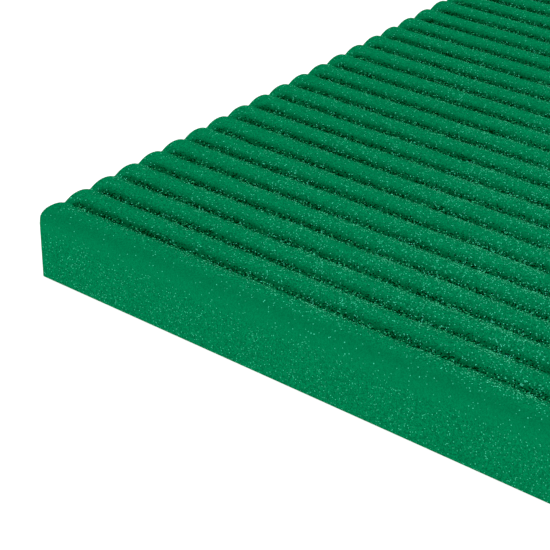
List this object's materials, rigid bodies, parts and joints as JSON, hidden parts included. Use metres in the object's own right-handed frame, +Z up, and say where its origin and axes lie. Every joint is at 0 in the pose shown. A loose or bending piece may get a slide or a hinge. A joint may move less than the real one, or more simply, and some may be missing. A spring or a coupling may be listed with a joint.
{
  "type": "ribbed foam exercise mat",
  "caption": "Flat closed-cell foam exercise mat in one green, with rounded ribs running across its width on top, a smooth flat underside and plain square-cut sides.",
  "frame": {"origin": "middle of the flat underside", "axes": "+X across the mat, along its ribs; +Y along the mat, away from its front end; +Z up, out of the ribbed top"},
  "size_m": [0.6, 1.85, 0.015],
  "materials": {
    "foam_skin": "matte moulded skin of closed-cell foam, with fine open cells and tiny glints",
    "foam_core": "matte closed-cell foam, never seen from outside"
  },
  "bodies": {
    "root": {"foam_core": "foam_core", "ribbed_top_layer": "foam_skin", "base_skin": "foam_skin", "front_edge_skin": "foam_skin", "back_edge_skin": "foam_skin", "left_edge_skin": "foam_skin", "right_edge_skin": "foam_skin"}
  },
  "joints": []
}
